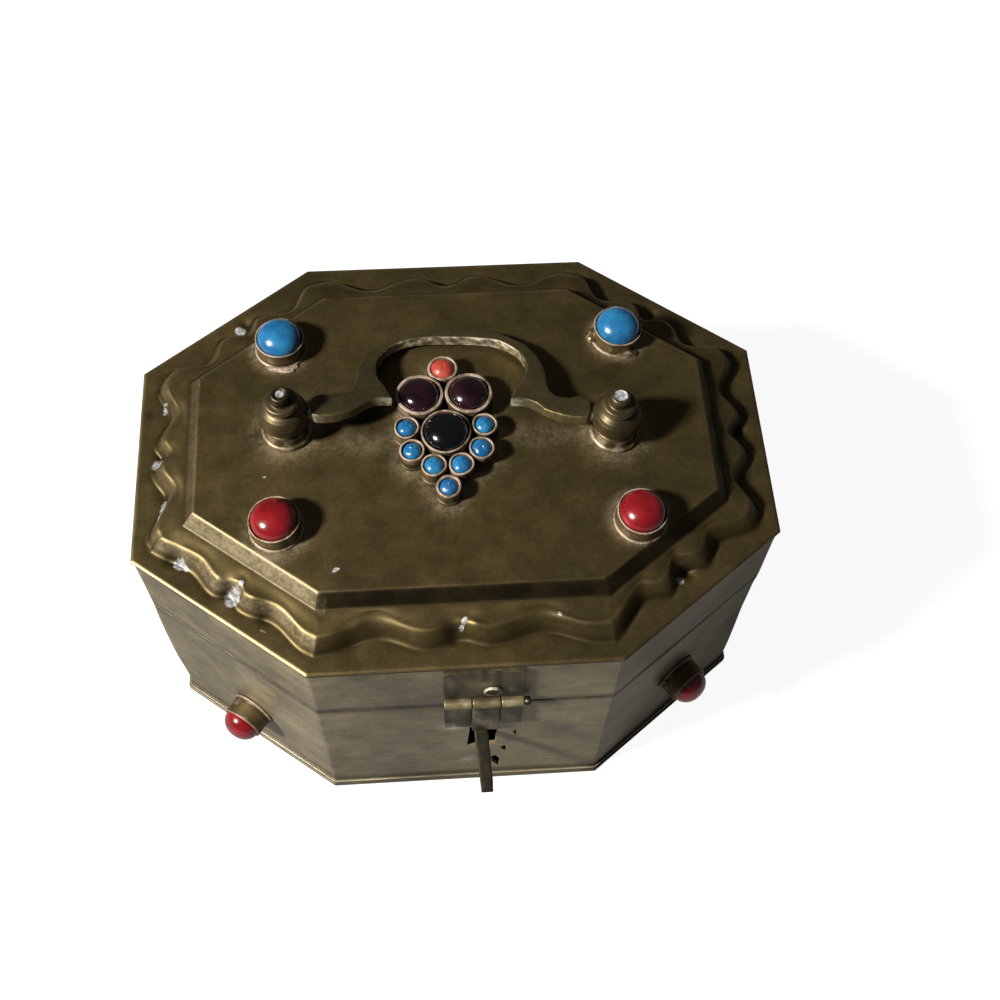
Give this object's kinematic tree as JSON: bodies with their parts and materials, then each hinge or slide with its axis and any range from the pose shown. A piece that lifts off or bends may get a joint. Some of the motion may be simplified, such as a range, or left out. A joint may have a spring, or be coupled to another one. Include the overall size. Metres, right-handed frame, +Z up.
{
  "type": "trinket box",
  "caption": "Octagonal brass trinket box with a hinged lid, wavy pressed border, swinging bracket handle, front hasp and cabochon stones in soldered cups.",
  "frame": {"origin": "middle of the underside of the base plate, where the box stands", "axes": "+X to the right along the box, +Y to the hinge at the back, -Y to the hasp at the front, +Z up"},
  "size_m": [0.1798, 0.152, 0.1239],
  "materials": {
    "lid_brass": "dark antique patina, worn on raised edges",
    "wall_brass": "greyed brass sheet with brushed streaks and stains",
    "fitting_brass": "rough sawn and turned brass, dulled",
    "bezel_metal": "pale solder-washed strip",
    "turquoise_stone": "glossy opaque cabochon",
    "red_stone": "glossy opaque cabochon",
    "coral_stone": "satin opaque cabochon",
    "garnet_glass": "glossy dark cabochon",
    "black_stone": "polished cabochon",
    "tip_stone": "glossy opaque cabochon"
  },
  "bodies": {
    "box": {"base_plate": "wall_brass", "box_walls": "wall_brass", "latch_bar": "fitting_brass", "side_bezel_left": "bezel_metal", "side_bezel_right": "bezel_metal", "side_stone_left": "red_stone", "side_stone_right": "red_stone", "hinge_leaf_lower": "fitting_brass", "hinge_pin": "fitting_brass"},
    "lid": {"lid_top": "lid_brass", "lid_skirt": "wall_brass", "hinge_leaf_upper": "fitting_brass", "hasp_leaf": "fitting_brass", "hasp_pin": "fitting_brass", "hasp_rivet": "fitting_brass", "post_left": "fitting_brass", "post_right": "fitting_brass", "cluster_setting": "bezel_metal", "bezel_front_left": "bezel_metal", "stone_front_left": "red_stone", "bezel_front_right": "bezel_metal", "stone_front_right": "red_stone", "bezel_back_left": "bezel_metal", "stone_back_left": "turquoise_stone", "bezel_back_right": "bezel_metal", "stone_back_right": "turquoise_stone", "cluster_black": "black_stone", "cluster_coral": "coral_stone", "cluster_tip": "tip_stone", "cluster_garnet_left": "garnet_glass", "cluster_garnet_right": "garnet_glass", "cluster_turquoise_lower_left": "turquoise_stone", "cluster_turquoise_lower_right": "turquoise_stone", "cluster_turquoise_middle_left": "turquoise_stone", "cluster_turquoise_middle_right": "turquoise_stone", "cluster_turquoise_upper_left": "turquoise_stone", "cluster_turquoise_upper_right": "turquoise_stone"},
    "handle": {"handle": "fitting_brass"},
    "hasp": {"hasp_tongue": "fitting_brass"}
  },
  "joints": [
    {"name": "lid_hinge", "type": "hinge", "parent": "box", "child": "lid", "pos_m": [0, 0.0676, 0.0672], "axis": [-1, 0, 0], "range_deg": [0, 105]},
    {"name": "handle_swing", "type": "hinge", "parent": "lid", "child": "handle", "pos_m": [-0.0008, 0.0005, 0.11339], "axis": [0.9984, -0.0558, 0], "range_deg": [0, 200]},
    {"name": "hasp_swing", "type": "hinge", "parent": "lid", "child": "hasp", "pos_m": [0, -0.0676, 0.0727], "axis": [-1, 0, 0], "range_deg": [0, 170]}
  ]
}
